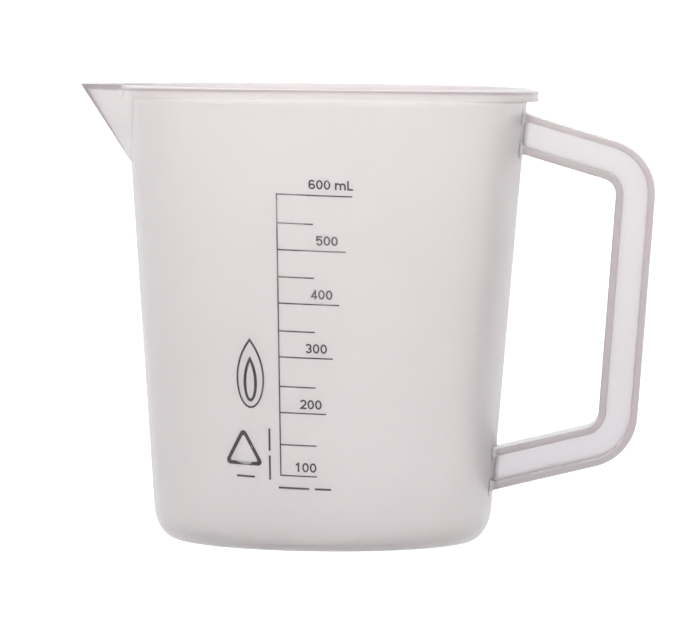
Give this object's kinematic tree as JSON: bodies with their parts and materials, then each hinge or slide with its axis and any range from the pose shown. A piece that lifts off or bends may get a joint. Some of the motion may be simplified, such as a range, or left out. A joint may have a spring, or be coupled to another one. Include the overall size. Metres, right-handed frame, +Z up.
{
  "type": "measuring beaker",
  "caption": "Translucent plastic measuring beaker with a V spout, a flat rim collar, a ribbed closed handle and a printed millilitre scale.",
  "frame": {"origin": "centre of the flat underside, on the vessel's axis", "axes": "+Z up along the vessel's axis, +X towards the handle, -X towards the spout, the printed scale faces -Y"},
  "size_m": [0.1525, 0.112, 0.12],
  "materials": {
    "polypropylene": "natural translucent polypropylene, satin, very slightly pink-grey",
    "ink": "black pad-printed ink, matte"
  },
  "bodies": {
    "root": {"vessel": "polypropylene", "rim_collar": "polypropylene", "pouring_spout": "polypropylene", "handle_outer_flange": "polypropylene", "handle_inner_flange": "polypropylene", "handle_web": "polypropylene", "dash_below_scale_long": "ink", "dash_below_scale_short": "ink", "dash_below_triangle": "ink", "dash_beside_scale_lower": "ink", "dash_beside_scale_upper": "ink", "drop_mark_inner": "ink", "drop_mark_outer": "ink", "graduation_scale": "ink", "numeral_100_1": "ink", "numeral_100_2": "ink", "numeral_100_3": "ink", "numeral_200_1": "ink", "numeral_200_2": "ink", "numeral_200_3": "ink", "numeral_300_1": "ink", "numeral_300_2": "ink", "numeral_300_3": "ink", "numeral_400_1": "ink", "numeral_400_2": "ink", "numeral_400_3": "ink", "numeral_500_1": "ink", "numeral_500_2": "ink", "numeral_500_3": "ink", "numeral_600_1": "ink", "numeral_600_2": "ink", "numeral_600_3": "ink", "triangle_mark": "ink", "unit_L": "ink", "unit_m": "ink"}
  },
  "joints": []
}
